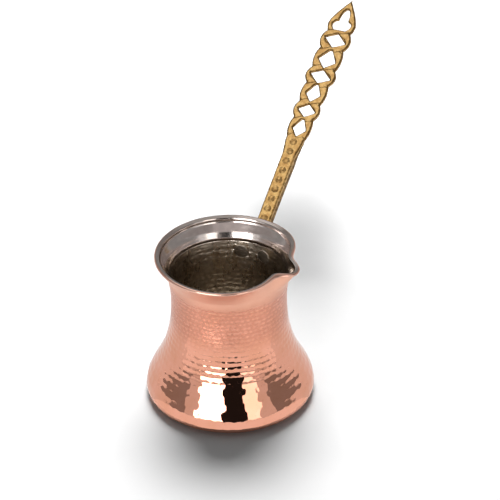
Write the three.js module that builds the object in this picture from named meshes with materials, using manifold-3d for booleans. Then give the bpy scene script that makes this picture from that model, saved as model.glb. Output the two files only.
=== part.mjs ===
// A cezve: a small hammered copper coffee pot, tinned inside, with a cast brass handle.
// Units are millimetres and degrees. +Z is up and the origin is the centre of the flat base.
// The handle points along +X, and the pouring spout is on the right of it, towards -Y.
import * as THREE from "three";
import { TessellateModifier } from "three/addons/modifiers/TessellateModifier.js";
import { mergeVertices } from "three/addons/utils/BufferGeometryUtils.js";
import Module from "manifold-3d";

// ---- Pot wall, measured on its outer face ----
const HEIGHT = 91.8;
const BASE_RADIUS = 34;
const BELLY_RADIUS = 48.1;
const BELLY_HEIGHT = 6;
const BELLY_PULL = 12; // how far the wall stays upright above the belly
const NECK_RADIUS = 32.4;
const NECK_HEIGHT = 64.2;
const NECK_PULL = 39; // how far down the wall stays nearly upright below the neck
const CREASE_RADIUS = 34.4;
const CREASE_HEIGHT = 80.4;
const RIM_RADIUS = 40.8;
const EDGE_RADIUS = 1.05; // the tinned bead along the rim

// ---- Thicknesses and gaps ----
const GAP = 0.3;
const COPPER = 0.9;
const TIN = 0.3;
const LINING_FACE = COPPER + GAP + TIN; // from the copper's outer face to the tin's inner face

// ---- Pouring spout, pressed out of the flared rim ----
const SPOUT_AZIMUTH = -88.5;
const SPOUT_PINCH = 7.0; // the rim is pressed in beside the spout
const SPOUT_PINCH_SPREAD = 38;
const SPOUT_PULL = 8.5; // and drawn out again at the beak
const SPOUT_PULL_SPREAD = 11.5;
const SPOUT_WIDENING = 1.1; // how much wider the spout is at the crease than at the rim
const SPOUT_RISE = 0.28; // a rim pressed in by 1 mm rises by this much

// ---- Handle: a bar and an openwork braid on one bent centreline ----
const ROOT_RADIUS = 34.4;
const ROOT_HEIGHT = 79.5;
const HANDLE_LENGTH = 160.5;
const HANDLE_RISE = 39;
const HANDLE_BEND = 0.0396; // degrees per millimetre, flattening towards the tip
const BAR_HALF_WIDTH = 3.8;
const BAR_END = 56;
const BAR_END_HALF_WIDTH = 4.15;
const BRAID_START = 66.6;
const BAR_THICKNESS = 6.0;
const BRAID_THICKNESS = 2.2;
const FACE_ABOVE = 1.4; // the upper face, above the handle's centreline
const ROOT_WEB = 6.5; // extra depth of the bar where it meets the foot plate
const ROOT_WEB_LENGTH = 15;
// The braid's openings from the bar to the tip: place, half length, half width, lean of the
// side corners, half width of the brass around them, and whether the shape is a kite.
const OPENINGS = [
  { at: 73.0, length: 5.7, width: 4.3, lean: 0.4, lobe: 7.1, kite: true },
  { at: 84.7, length: 4.2, width: 5.7, lean: 0.5, lobe: 8.2, kite: false },
  { at: 96.4, length: 5.9, width: 4.6, lean: 0.4, lobe: 8.0, kite: true },
  { at: 107.8, length: 4.6, width: 6.9, lean: 1.2, lobe: 9.4, kite: false },
  { at: 119.6, length: 6.2, width: 5.7, lean: 0.8, lobe: 8.7, kite: true },
  { at: 132.7, length: 4.8, width: 7.0, lean: 1.3, lobe: 9.5, kite: false },
];
const WAIST = 0.8; // the braid between two openings, as a share of its full width
const LOBE_ROUND = 0.75; // how full the lobes are
const KITE_FLAT = 0.8; // half width of a kite's blunt end
const FINIAL_START = 138.4;
const FINIAL_SHOULDER = 144;
const FINIAL_HALF_WIDTH = 8.6;
const FINIAL_TAPER = 1.35;
// The spade-shaped hole in the finial that the pot hangs by: one half of its outline.
const HANGING_HOLE = [[139.8, 3.8], [143.4, 5.7], [147, 3.4], [150.6, 2.6], [154.2, 1]];

// ---- Foot plate and its two rivets ----
const RIVET_AZIMUTH = 13.6;
const RIVET_HEIGHT = 74.3;
const PLATE_THICKNESS = 2.3;
const PLATE_HALF_LENGTH = 13.6;
const PLATE_HALF_HEIGHT = 6.4;
const SHANK_RADIUS = 1.7;
const INNER_HEAD_RADIUS = 4.1;
const INNER_HEAD_THICKNESS = 0.9;
const OUTER_HEAD_RADIUS = 3.2;
const OUTER_HEAD_THICKNESS = 1.6;

// ---- Fineness of the meshes ----
const TURNS = 60; // steps round the pot
const TURNS_GATHER = 0.58; // how strongly the steps gather at the spout
const WALL_STEPS = 12;
const LOBE_STEPS = 8;
const BEND_STEP = 5; // longest edge on the bent handle
const TESSELLATE_ROUNDS = 24;
const MERGE = 1e-4;

const { cos, sin, PI, sqrt, abs, exp, min, max, atan2, hypot } = Math;
const radians = THREE.MathUtils.degToRad;
const wasm = await Module();
wasm.setup();

// ---- Solids ----

function toSolid(geometry) {
  const plain = geometry.clone();
  plain.deleteAttribute("normal");
  plain.deleteAttribute("uv");
  const merged = mergeVertices(plain, MERGE);
  return new wasm.Manifold(
    new wasm.Mesh({
      numProp: 3,
      vertProperties: new Float32Array(merged.attributes.position.array),
      triVerts: new Uint32Array(merged.index.array),
    }),
  );
}

function toGeometry(solid) {
  const mesh = solid.getMesh();
  const geometry = new THREE.BufferGeometry();
  geometry.setAttribute("position", new THREE.BufferAttribute(mesh.vertProperties, 3));
  geometry.setIndex(new THREE.BufferAttribute(mesh.triVerts, 1));
  geometry.computeVertexNormals();
  return geometry;
}

function moveVertices(geometry, move) {
  const position = geometry.attributes.position;
  const point = new THREE.Vector3();
  for (let i = 0; i < position.count; i += 1) {
    point.fromBufferAttribute(position, i);
    move(point);
    position.setXYZ(i, point.x, point.y, point.z);
  }
  return geometry;
}

// ---- Pot wall ----

// The outer face in section: flat base, round belly, long waist, neck, crease and flare.
function outerLine() {
  const path = new THREE.Path();
  path.moveTo(0, 0);
  path.lineTo(BASE_RADIUS, 0);
  path.absellipse(
    BASE_RADIUS, BELLY_HEIGHT,
    BELLY_RADIUS - BASE_RADIUS, BELLY_HEIGHT,
    -PI / 2, 0, false,
  );
  path.bezierCurveTo(
    BELLY_RADIUS, BELLY_HEIGHT + BELLY_PULL,
    NECK_RADIUS, NECK_HEIGHT - NECK_PULL,
    NECK_RADIUS, NECK_HEIGHT,
  );
  path.quadraticCurveTo(
    NECK_RADIUS, (NECK_HEIGHT + CREASE_HEIGHT) / 2,
    CREASE_RADIUS, CREASE_HEIGHT,
  );
  const lip = RIM_RADIUS - EDGE_RADIUS + COPPER / 2;
  const lipHeight = HEIGHT - EDGE_RADIUS;
  path.quadraticCurveTo(
    CREASE_RADIUS + 0.45 * (lip - CREASE_RADIUS), (CREASE_HEIGHT + lipHeight) / 2,
    lip, lipHeight,
  );
  return path.curves.flatMap((curve, i) => {
    const steps = [1, WALL_STEPS / 4, WALL_STEPS, WALL_STEPS / 4, WALL_STEPS / 4][i];
    const points = curve.getPoints(steps);
    return i ? points.slice(1) : points;
  });
}

// The same line moved by a distance into the pot, or out of it when the distance is negative.
function insideBy(line, distance) {
  return line.map((point, i) => {
    if (i === 0) return new THREE.Vector2(0, point.y + distance);
    const before = line[i - 1];
    const after = line[min(i + 1, line.length - 1)];
    const along = after.clone().sub(before).normalize();
    return new THREE.Vector2(-along.y, along.x).multiplyScalar(distance).add(point);
  });
}

// A half-round edge from one end of the wall's section to the other.
function roundEdge(from, to, steps) {
  const centre = from.clone().add(to).multiplyScalar(0.5);
  return Array.from({ length: steps - 1 }, (_, i) =>
    from.clone().rotateAround(centre, (PI * (i + 1)) / steps),
  );
}

// A shell between two distances from the outer face, with a rounded edge at the rim.
function shellSection(outside, inside, edgeSteps) {
  const line = outerLine();
  const outer = insideBy(line, outside);
  const inner = insideBy(line, inside);
  const top = outer[outer.length - 1];
  const edge = roundEdge(top, inner[inner.length - 1], edgeSteps);
  return [...outer, ...edge, ...inner.reverse()];
}

// The tin lining starts outside the rim, passes over its edge and covers the whole inside.
function liningSection() {
  const line = outerLine();
  const steps = 6;
  const over = insideBy(line, -GAP - TIN).at(-1);
  const overInner = insideBy(line, -GAP).at(-1);
  const inner = insideBy(line, LINING_FACE);
  const outer = insideBy(line, COPPER + GAP);
  return [
    ...outer,
    ...roundEdge(overInner, outer.at(-1), steps).reverse(),
    overInner,
    over,
    ...roundEdge(over, inner.at(-1), steps),
    ...inner.reverse(),
  ];
}

// The spout is pressed out of the flare. The change grows from the crease to the rim.
function formSpout(point) {
  const share = max(0, (point.z - CREASE_HEIGHT + 4) / (HEIGHT - CREASE_HEIGHT + 4));
  if (share === 0) return;
  const azimuth = atan2(point.y, point.x);
  let turn = THREE.MathUtils.radToDeg(azimuth) - SPOUT_AZIMUTH;
  turn -= 360 * Math.round(turn / 360);
  turn /= 1 + SPOUT_WIDENING * (1 - min(1, share));
  const pinch = SPOUT_PINCH * exp(-((turn / SPOUT_PINCH_SPREAD) ** 2));
  const pull = SPOUT_PULL * exp(-(abs(turn / SPOUT_PULL_SPREAD) ** 2.5));
  const change = (pull - pinch) * share ** 1.3;
  point.x += change * cos(azimuth);
  point.y += change * sin(azimuth);
  point.z -= SPOUT_RISE * change;
}

// A section spun round the Z axis, with its steps gathered where the spout is.
function spin(section, turns, gather) {
  const geometry = new THREE.LatheGeometry(section, turns);
  geometry.rotateX(PI / 2);
  return moveVertices(geometry, (point) => {
    const azimuth = atan2(point.y, point.x);
    const radius = hypot(point.x, point.y);
    const moved = azimuth - gather * sin(azimuth - radians(SPOUT_AZIMUTH));
    point.x = radius * cos(moved);
    point.y = radius * sin(moved);
  });
}

function potShell(section) {
  return toSolid(moveVertices(spin(section, TURNS, TURNS_GATHER), formSpout));
}

// ---- Rivets ----

// A section of [radius, distance from the pot's axis] spun about a rivet's own axis.
function onRivetAxis(section, azimuth) {
  const points = section.map(([x, y]) => new THREE.Vector2(x, y));
  const geometry = new THREE.LatheGeometry(points, 24);
  geometry.rotateZ(-PI / 2);
  geometry.rotateZ(radians(azimuth));
  geometry.translate(0, 0, RIVET_HEIGHT);
  return toSolid(geometry);
}

function wallRadiusAt(height) {
  const line = outerLine();
  const above = line.findIndex((point) => point.y >= height && point.x < BELLY_RADIUS);
  const [low, high] = [line[above - 1], line[above]];
  return THREE.MathUtils.mapLinear(height, low.y, high.y, low.x, high.x);
}

function rivetHole(azimuth) {
  const radius = SHANK_RADIUS + GAP;
  const far = NECK_RADIUS * 2;
  return onRivetAxis([[0, 20], [radius, 20], [radius, far], [0, far]], azimuth);
}

function rivet(azimuth) {
  const inside = wallRadiusAt(RIVET_HEIGHT - INNER_HEAD_RADIUS) - LINING_FACE;
  const seat = sqrt(inside ** 2 - INNER_HEAD_RADIUS ** 2) - GAP;
  const start = seat - INNER_HEAD_THICKNESS;
  const plateFace = wallRadiusAt(RIVET_HEIGHT + OUTER_HEAD_RADIUS) + GAP + PLATE_THICKNESS;
  const outside = plateFace + GAP;
  const dome = (angle) => [
    OUTER_HEAD_RADIUS * cos(radians(angle)),
    outside + OUTER_HEAD_THICKNESS * sin(radians(angle)),
  ];
  return onRivetAxis(
    [
      [0, start],
      [INNER_HEAD_RADIUS - 0.5, start],
      [INNER_HEAD_RADIUS, start + 0.4],
      [INNER_HEAD_RADIUS, seat],
      [SHANK_RADIUS, seat],
      [SHANK_RADIUS, outside],
      dome(0), dome(30), dome(60),
      [0, outside + OUTER_HEAD_THICKNESS],
    ],
    azimuth,
  );
}

// ---- Handle ----

// A place on the handle: distance along its centreline, across it, and above it.
function onHandle(along, across, above) {
  const slope = radians(HANDLE_RISE - HANDLE_BEND * along);
  const curve = radians(HANDLE_BEND);
  const out = ROOT_RADIUS + (sin(radians(HANDLE_RISE)) - sin(slope)) / curve;
  const up = ROOT_HEIGHT + (cos(slope) - cos(radians(HANDLE_RISE))) / curve;
  return new THREE.Vector3(
    out - above * sin(slope),
    across,
    up + above * cos(slope),
  );
}

// A flat-built handle bent onto its centreline. In the flat piece X is the distance along the
// handle, Y the distance across it, and Z runs from -1 on the underside to 1 on the upper face.
// The upper face is one smooth sweep, and all change of thickness is on the underside.
function bent(flat) {
  const fine = new TessellateModifier(BEND_STEP, TESSELLATE_ROUNDS).modify(flat);
  return moveVertices(fine, (point) => {
    const above = FACE_ABOVE - (thickness(point.x) * (1 - point.z)) / 2;
    point.copy(onHandle(point.x, point.y, above));
  });
}

function thickness(along) {
  const share = THREE.MathUtils.smoothstep(along, BAR_END - 6, BRAID_START + 3);
  const web = ROOT_WEB * max(0, 1 - max(0, along) / ROOT_WEB_LENGTH) ** 2;
  return THREE.MathUtils.lerp(BAR_THICKNESS, BRAID_THICKNESS, share) + web;
}

// Where the braid's two strands cross, as [place, half width]: at the end of the bar, between
// two openings that follow each other, and at the start of the finial.
function braidWaists() {
  const between = OPENINGS.slice(1).map((next, i) => {
    const last = OPENINGS[i];
    const place = (last.at + last.length + next.at - next.length) / 2;
    return [place, (WAIST * (last.lobe + next.lobe)) / 2];
  });
  return [
    [BRAID_START, WAIST * OPENINGS[0].lobe],
    ...between,
    [FINIAL_START, (WAIST * (OPENINGS.at(-1).lobe + FINIAL_HALF_WIDTH)) / 2],
  ];
}

// Half of the handle's outline from inside the foot plate to the tip, as [place, half width].
function handleSide() {
  const side = [[-4, BAR_HALF_WIDTH], [BAR_END - 2, BAR_END_HALF_WIDTH]];
  const waists = braidWaists();
  for (let along = BAR_END; along < BRAID_START - 1; along += 2) {
    const share = THREE.MathUtils.smoothstep(along, BAR_END - 2, BRAID_START);
    side.push([along, THREE.MathUtils.lerp(BAR_END_HALF_WIDTH, waists[0][1], share)]);
  }
  OPENINGS.forEach(({ lobe }, i) => {
    const [start, from] = waists[i];
    const [end, to] = waists[i + 1];
    for (let share = 0; share < 1; share += 1 / LOBE_STEPS) {
      const waist = THREE.MathUtils.lerp(from, to, share);
      const swell = sin(PI * share) ** LOBE_ROUND;
      side.push([THREE.MathUtils.lerp(start, end, share), THREE.MathUtils.lerp(waist, lobe, swell)]);
    }
  });
  const [finialStart, finialWaist] = waists.at(-1);
  for (let share = 0; share < 1; share += 0.25) {
    const along = THREE.MathUtils.lerp(finialStart, FINIAL_SHOULDER, share);
    const swell = sin((PI / 2) * share) ** LOBE_ROUND;
    side.push([along, THREE.MathUtils.lerp(finialWaist, FINIAL_HALF_WIDTH, swell)]);
  }
  for (let share = 0; share < 1; share += 0.125) {
    const along = THREE.MathUtils.lerp(FINIAL_SHOULDER, HANDLE_LENGTH, share);
    side.push([along, FINIAL_HALF_WIDTH * (1 - share ** FINIAL_TAPER)]);
  }
  return side;
}

// The corners of one opening of the braid: a rhomb, or a kite with a blunt end.
function openingCorners({ at, length, width, lean, kite }) {
  const middle = kite ? at - 0.15 * length : at;
  const end = at + length;
  const tip = kite ? [[end, -KITE_FLAT], [end, KITE_FLAT]] : [[end, 0]];
  return [[at - length, 0], [middle - lean, -width], ...tip, [middle + lean, width]];
}

// The bar, the openwork braid and the pointed finial in one casting.
function barAndBraid() {
  const side = handleSide();
  const mirrored = side.map(([along, across]) => [along, -across]).reverse();
  const toPoints = (pairs) => pairs.map(([along, across]) => new THREE.Vector2(along, across));
  const shape = new THREE.Shape(toPoints([...side, [HANDLE_LENGTH, 0], ...mirrored]).reverse());
  const hangingHole = [...HANGING_HOLE, ...HANGING_HOLE.map(([x, y]) => [x, -y]).reverse()];
  const openings = [...OPENINGS.map(openingCorners), hangingHole];
  shape.holes = openings.map((corners) => new THREE.Path(toPoints(corners)));
  const geometry = new THREE.ExtrudeGeometry(shape, { depth: 2, bevelEnabled: false });
  geometry.translate(0, 0, -1);
  return toSolid(bent(geometry));
}

// The pot's own outer form, closed at the top and grown by a distance.
function potForm(grown) {
  const outer = insideBy(outerLine(), -grown);
  const top = new THREE.Vector2(0, outer.at(-1).y);
  return toSolid(spin([...outer, top], TURNS, 0));
}

// The plate bends round the neck. Its outline, seen from outside, has two round ends.
function footPlate() {
  const flat = PLATE_HALF_LENGTH - PLATE_HALF_HEIGHT;
  const shape = new THREE.Shape();
  shape.absarc(flat, 0, PLATE_HALF_HEIGHT, -PI / 2, PI / 2, false);
  shape.absarc(-flat, 0, PLATE_HALF_HEIGHT, PI / 2, (3 * PI) / 2, false);
  const reach = BELLY_RADIUS;
  const block = new THREE.ExtrudeGeometry(shape, { depth: reach, bevelEnabled: false });
  const across = new THREE.Vector3(0, 1, 0);
  const up = new THREE.Vector3(0, 0, 1);
  const out = new THREE.Vector3(1, 0, 0);
  block.applyMatrix4(new THREE.Matrix4().makeBasis(across, up, out));
  block.translate(0, 0, RIVET_HEIGHT);
  return potForm(GAP + PLATE_THICKNESS).intersect(toSolid(block));
}

function handle() {
  return footPlate()
    .add(barAndBraid())
    .subtract(potForm(GAP))
    .subtract(rivetHole(RIVET_AZIMUTH))
    .subtract(rivetHole(-RIVET_AZIMUTH));
}

// ---- The object ----

const copper = new THREE.MeshStandardMaterial({ color: 0xe19b82, roughness: 0.22, metalness: 1 });
const tin = new THREE.MeshStandardMaterial({ color: 0xb4aca4, roughness: 0.3, metalness: 1 });
const brass = new THREE.MeshStandardMaterial({ color: 0xc6a066, roughness: 0.4, metalness: 1 });

const cezve = new THREE.Group();

function piece(name, solid, material) {
  const mesh = new THREE.Mesh(toGeometry(solid), material);
  mesh.name = name;
  cezve.add(mesh);
}

function riveted(solid) {
  return solid.subtract(rivetHole(RIVET_AZIMUTH)).subtract(rivetHole(-RIVET_AZIMUTH));
}

piece("copper_body", riveted(potShell(shellSection(0, COPPER, 4))), copper);
piece("tin_lining", riveted(potShell(liningSection())), tin);
piece("handle", handle(), brass);
piece("rivet_left", rivet(RIVET_AZIMUTH), tin);
piece("rivet_right", rivet(-RIVET_AZIMUTH), tin);

export default cezve;
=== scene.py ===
# %% [markdown]
# # A hammered copper cezve
# A cezve is the small pot that Turkish coffee is boiled in. This one is beaten from copper
# sheet, wiped with tin inside, and carries a long cast brass handle with an openwork braid.
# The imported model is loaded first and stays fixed: it says where every part is. The pieces
# built here take its place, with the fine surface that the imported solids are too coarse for.

# %% Load the fixed frame
import math
import bpy
import numpy as np
from mathutils import Matrix, Vector
from mathutils.geometry import tessellate_polygon
from mathutils.kdtree import KDTree


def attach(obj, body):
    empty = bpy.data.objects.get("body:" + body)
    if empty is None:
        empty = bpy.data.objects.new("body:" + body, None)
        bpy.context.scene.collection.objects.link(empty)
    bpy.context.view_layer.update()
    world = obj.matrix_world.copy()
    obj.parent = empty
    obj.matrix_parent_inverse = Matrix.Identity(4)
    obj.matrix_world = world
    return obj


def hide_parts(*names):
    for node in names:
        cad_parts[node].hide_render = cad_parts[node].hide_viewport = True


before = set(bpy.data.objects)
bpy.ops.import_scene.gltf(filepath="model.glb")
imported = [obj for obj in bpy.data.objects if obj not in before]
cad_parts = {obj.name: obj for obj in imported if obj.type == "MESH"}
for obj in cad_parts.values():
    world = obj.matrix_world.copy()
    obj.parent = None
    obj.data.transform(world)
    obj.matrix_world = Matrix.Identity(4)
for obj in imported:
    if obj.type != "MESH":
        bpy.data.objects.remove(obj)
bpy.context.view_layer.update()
MM = 0.001
HEIGHT = 91.8

# %% [markdown]
# ## The camera
# The pot is looked down on from the front, at a third of the way from level to straight
# above, with the handle running away to the right. A long lens from about a metre keeps the
# rim and the belly close to their true proportions, as a product picture does.

# %% Place the camera
CAMERA_TURN = math.radians(63.25)
CAMERA_RISE = math.radians(32.93)
CAMERA_ROLL = math.radians(-0.563)
CAMERA_DISTANCE = 0.990
FRAMING_RIGHT, FRAMING_UP = 0.0120, 0.0018
LENS, SENSOR = 129.6, 36.0

right_of_view = Vector((math.cos(CAMERA_TURN), -math.sin(CAMERA_TURN), 0))
away_from_view = Vector((math.sin(CAMERA_TURN), math.cos(CAMERA_TURN), 0))
straight_up = Vector((0, 0, 1))


def place_camera():
    looking = away_from_view * math.cos(CAMERA_RISE) - straight_up * math.sin(CAMERA_RISE)
    upward = away_from_view * math.sin(CAMERA_RISE) + straight_up * math.cos(CAMERA_RISE)
    place = Vector((0, 0, HEIGHT * MM)) - looking * CAMERA_DISTANCE
    place += right_of_view * FRAMING_RIGHT + upward * FRAMING_UP
    side = right_of_view * math.cos(CAMERA_ROLL) + upward * math.sin(CAMERA_ROLL)
    top = upward * math.cos(CAMERA_ROLL) - right_of_view * math.sin(CAMERA_ROLL)
    camera = bpy.data.objects.new("camera", bpy.data.cameras.new("camera"))
    bpy.context.scene.collection.objects.link(camera)
    camera.data.lens, camera.data.sensor_width = LENS, SENSOR
    camera.data.clip_start = 0.05
    camera.matrix_world = Matrix.Translation(place) @ Matrix((side, top, -looking)).transposed().to_4x4()
    bpy.context.scene.camera = camera
    return camera


print("camera stands at", place_camera().location)

# %% [markdown]
# ## The line of the pot wall
# A coppersmith raises the pot from a disc over stakes, so it is a body of revolution: one
# line spun round the axis. The line runs along the flat base, round the belly, up the long
# waist to the neck, and out again over the crease into the flared rim. It is written as
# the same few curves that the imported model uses, then cut into even steps, because hammer
# marks have to be spaced by distance along the metal and not by height.

# %% The outer line, in millimetres
BASE_RADIUS = 34.0
BELLY_RADIUS, BELLY_HEIGHT, BELLY_PULL = 48.1, 6.0, 12.0
NECK_RADIUS, NECK_HEIGHT, NECK_PULL = 32.4, 64.2, 39.0
CREASE_RADIUS, CREASE_HEIGHT = 34.4, 80.4
LIP_RADIUS, LIP_HEIGHT = 40.2, HEIGHT - 1.05
STEPS = 200  # points on each stretch of the line


def curve_through(*controls):
    """A Bezier curve of any order from its control points."""
    share = np.linspace(0, 1, STEPS)[:, None]
    points = [np.tile(np.array(c, float), (STEPS, 1)) for c in controls]
    while len(points) > 1:
        points = [a * (1 - share) + b * share for a, b in zip(points, points[1:])]
    return points[0]


def outer_line():
    turn = np.linspace(-math.pi / 2, 0, STEPS)
    belly = np.stack([BASE_RADIUS + (BELLY_RADIUS - BASE_RADIUS) * np.cos(turn),
                      BELLY_HEIGHT * (1 + np.sin(turn))], 1)
    waist = curve_through((BELLY_RADIUS, BELLY_HEIGHT), (BELLY_RADIUS, BELLY_HEIGHT + BELLY_PULL),
                          (NECK_RADIUS, NECK_HEIGHT - NECK_PULL), (NECK_RADIUS, NECK_HEIGHT))
    crease = (CREASE_RADIUS, CREASE_HEIGHT)
    neck = curve_through((NECK_RADIUS, NECK_HEIGHT),
                         (NECK_RADIUS, (NECK_HEIGHT + CREASE_HEIGHT) / 2), crease)
    flare = curve_through(crease, (CREASE_RADIUS + 0.45 * (LIP_RADIUS - CREASE_RADIUS),
                                   (CREASE_HEIGHT + LIP_HEIGHT) / 2), (LIP_RADIUS, LIP_HEIGHT))
    base = np.array([[0.0, 0.0]])
    return np.vstack([base, belly, waist[1:], neck[1:], flare[1:]])


LINE = outer_line()
ALONG = np.concatenate([[0], np.cumsum(np.hypot(*np.diff(LINE, axis=0).T))])
LINE_LENGTH = ALONG[-1]


def line_at(along):
    """Radius, height and outward direction of the wall at distances along its outer line."""
    radius = np.interp(along, ALONG, LINE[:, 0])
    height = np.interp(along, ALONG, LINE[:, 1])
    ahead, behind = np.minimum(along + 0.4, LINE_LENGTH), np.maximum(along - 0.4, 0)
    step_out = np.interp(ahead, ALONG, LINE[:, 0]) - np.interp(behind, ALONG, LINE[:, 0])
    step_up = np.interp(ahead, ALONG, LINE[:, 1]) - np.interp(behind, ALONG, LINE[:, 1])
    size = np.hypot(step_out, step_up)
    return radius, height, step_up / size, -step_out / size


def along_at(height):
    """Distance along the line at a height above the belly."""
    above = ALONG > ALONG[STEPS]
    return float(np.interp(height, LINE[above, 1], ALONG[above]))


def neck_radius(height):
    """Radius of the wall at a height on the neck or the flare."""
    upper = LINE[STEPS + 100:]
    return np.interp(height, upper[:, 1], upper[:, 0])


BASE_EDGE = ALONG[1]
CREASE_ALONG = along_at(CREASE_HEIGHT)
print(f"the wall's line is {LINE_LENGTH:.1f} mm long, and its crease is at {CREASE_ALONG:.1f} mm")

# %% [markdown]
# ## Pressing the pouring spout
# The spout is pushed out of the finished flare with a round stake: the rim is squeezed in
# on both sides of it and drawn out to a beak. The same push is a formula of the direction
# round the pot, growing from nothing at the crease to its full size at the rim.

# %% Press the spout into any point of the wall
SPOUT_AZIMUTH = math.radians(-88.5)


def press_spout(radius, height, azimuth):
    start = CREASE_HEIGHT - 4
    share = np.clip((height - start) / (HEIGHT - start), 0, None)
    turn = np.degrees((azimuth - SPOUT_AZIMUTH + math.pi) % (2 * math.pi) - math.pi)
    turn = turn / (1 + 1.1 * (1 - np.minimum(1, share)))
    pinch = 7.0 * np.exp(-((turn / 38) ** 2))
    pull = 8.5 * np.exp(-(np.abs(turn / 11.5) ** 2.5))
    change = (pull - pinch) * share ** 1.3
    return radius + change, height - 0.28 * change


# %% [markdown]
# ## Hammer marks
# Planishing leaves one shallow mark per blow, laid in rings while the pot turns on the
# stake. Each mark here is a very shallow bowl, only a few hundredths of a millimetre deep,
# and neighbouring bowls meet in soft ridges. They are real geometry, because a bump texture
# cannot break the edge of a mirror reflection the way true facets do. Rings are wide on the
# belly and narrow on the neck, as the smith changes to a lighter hammer.

# %% Lay the rings of hammer marks
RIDGE_SOFTNESS = 7.0


def hammer_rings(first, last, belly_pitch, neck_pitch, seed):
    """Rings from one distance along the wall to another: place, pitch, and marks in each."""
    dice = np.random.default_rng(seed)
    rings, along = [], first
    while along < last:
        share = np.clip((along - first) / (last - first) * 1.5, 0, 1)
        pitch = belly_pitch + (neck_pitch - belly_pitch) * share
        radius = line_at(np.array([along]))[0][0]
        marks = int(round(2 * math.pi * radius / (pitch * 1.12)))
        rings.append({
            "along": along, "pitch": pitch, "marks": marks, "start": dice.uniform(0, 2 * math.pi),
            "turn": dice.normal(0, 0.10, marks), "rise": dice.normal(0, 0.07, marks),
            "depth": dice.uniform(0.75, 1.25, marks), "tilt": dice.normal(0, 0.16, marks),
        })
        along += pitch
    return rings


def hammered(along, azimuth, rings):
    """Depth of the marks at each point, from 0 in the middle of a mark to 1 on its ridges."""
    radius = line_at(along)[0]
    places = np.array([ring["along"] for ring in rings])
    nearest = np.abs(along[:, None] - places[None, :]).argmin(1)
    total = np.zeros_like(along)
    for step in (-1, 0, 1):
        which = np.clip(nearest + step, 0, len(rings) - 1)
        for k in np.unique(which):
            ring, at = rings[k], which == k
            width = 2 * math.pi / ring["marks"]
            index = np.round((azimuth[at] - ring["start"]) / width).astype(int)
            for side in (-1, 0, 1):
                mark = (index + side) % ring["marks"]
                centre = ring["start"] + (index + side + ring["turn"][mark]) * width
                across = (azimuth[at] - centre) / (width / 2)
                up = (along[at] - ring["along"]) / (ring["pitch"] / 2) - 2 * ring["rise"][mark]
                bowl = ring["depth"][mark] * (across ** 2 + 1.6 * up ** 2) + ring["tilt"][mark] * across
                total[at] += np.exp(-RIDGE_SOFTNESS * np.minimum(bowl, 8))
    return np.clip(-np.log(np.maximum(total, 1e-12)) / RIDGE_SOFTNESS, -0.3, 1.6)


def between(value, low, high):
    """0 below low, 1 above high, and smooth between."""
    share = np.clip((value - low) / (high - low), 0, 1)
    return share * share * (3 - 2 * share)


# %% [markdown]
# ## Turning a wall into a mesh
# Every wall is built the same way: rows of points, one row for each step along the section
# and one point for each step round the pot, joined by four-sided faces. The first and last
# rows close onto the axis with a fan, so that each piece is one closed skin.

# %% Build a closed skin from rows of points
def put(name, mesh):
    """A new piece in the scene from a mesh."""
    piece = bpy.data.objects.new(name, mesh)
    bpy.context.scene.collection.objects.link(piece)
    return piece


def skin(name, radius, height, azimuth):
    """A mesh object from (rows, turns) arrays in millimetres; both ends close on the axis."""
    rows, turns = radius.shape
    x, y = radius * np.cos(azimuth), radius * np.sin(azimuth)
    points = np.stack([x, y, height], -1).reshape(-1, 3)
    poles = [[0, 0, height[0].mean()], [0, 0, height[-1].mean()]]
    points = np.vstack([points, poles]) * MM
    grid = np.arange(rows * turns).reshape(rows, turns)
    beside = np.roll(grid, -1, axis=1)
    quads = np.stack([grid[:-1], beside[:-1], beside[1:], grid[1:]], -1).reshape(-1, 4)
    first, last = rows * turns, rows * turns + 1
    fans = [(first, int(b), int(a)) for a, b in zip(grid[0], beside[0])]
    fans += [(last, int(a), int(b)) for a, b in zip(grid[-1], beside[-1])]
    mesh = bpy.data.meshes.new(name)
    mesh.from_pydata(points.tolist(), [], quads.tolist() + fans)
    mesh.shade_smooth()
    return put(name, mesh)


def paint(piece, name, values):
    """Stores one number for each point of a mesh, for the materials to read."""
    attribute = piece.data.attributes.new(name, "FLOAT", "POINT")
    attribute.data.foreach_set("value", np.asarray(values, np.float32))


# %% [markdown]
# ## The copper body
# The outer skin has the hammer marks. They start above the rounded bottom edge, which the
# smith smooths on a bench, and stop below the crease, where the flare is burnished smooth.
# They are deepest round the waist, where the sheet is drawn in most and takes the hardest
# blows. The inner skin is hidden by the tin, so it needs only a few plain rows.

# %% Raise the copper body
COPPER, GAP, TIN = 0.9, 0.3, 0.3
TURNS, HIDDEN_ROWS = 420, 40
HAMMER_FIRST = along_at(9.0)
HAMMER_LAST = along_at(76.0)
BELLY_MARK_DEPTH, NECK_MARK_DEPTH = 0.075, 0.070
WAIST_ALONG, WAIST_EXTRA = along_at(42.0), 0.9


def turns_round(count):
    return np.linspace(-math.pi, math.pi, count, endpoint=False)


def wall_rows(along, turns, inset, marks=None):
    """Radius and height of wall points at an inset from the outer line, less the marks."""
    radius, height, out, up = (a[:, None] for a in line_at(along))
    azimuth = np.tile(turns_round(turns), (len(along), 1))
    push = -inset * np.ones_like(azimuth) if marks is None else marks - inset
    return press_spout(radius + out * push, height + up * push, azimuth) + (azimuth,)


def mark_depth(along):
    """How deep the marks are along the wall: nothing at both ends, most round the waist."""
    share = between(along, HAMMER_FIRST + 20, HAMMER_FIRST + 40)
    depth = BELLY_MARK_DEPTH + (NECK_MARK_DEPTH - BELLY_MARK_DEPTH) * share
    depth *= 1 + WAIST_EXTRA * np.exp(-(((along - WAIST_ALONG) / 6) ** 2))
    begin = between(along, HAMMER_FIRST - 5, HAMMER_FIRST)
    return depth, begin * (1 - between(along, HAMMER_LAST - 1, HAMMER_LAST + 3))


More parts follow.
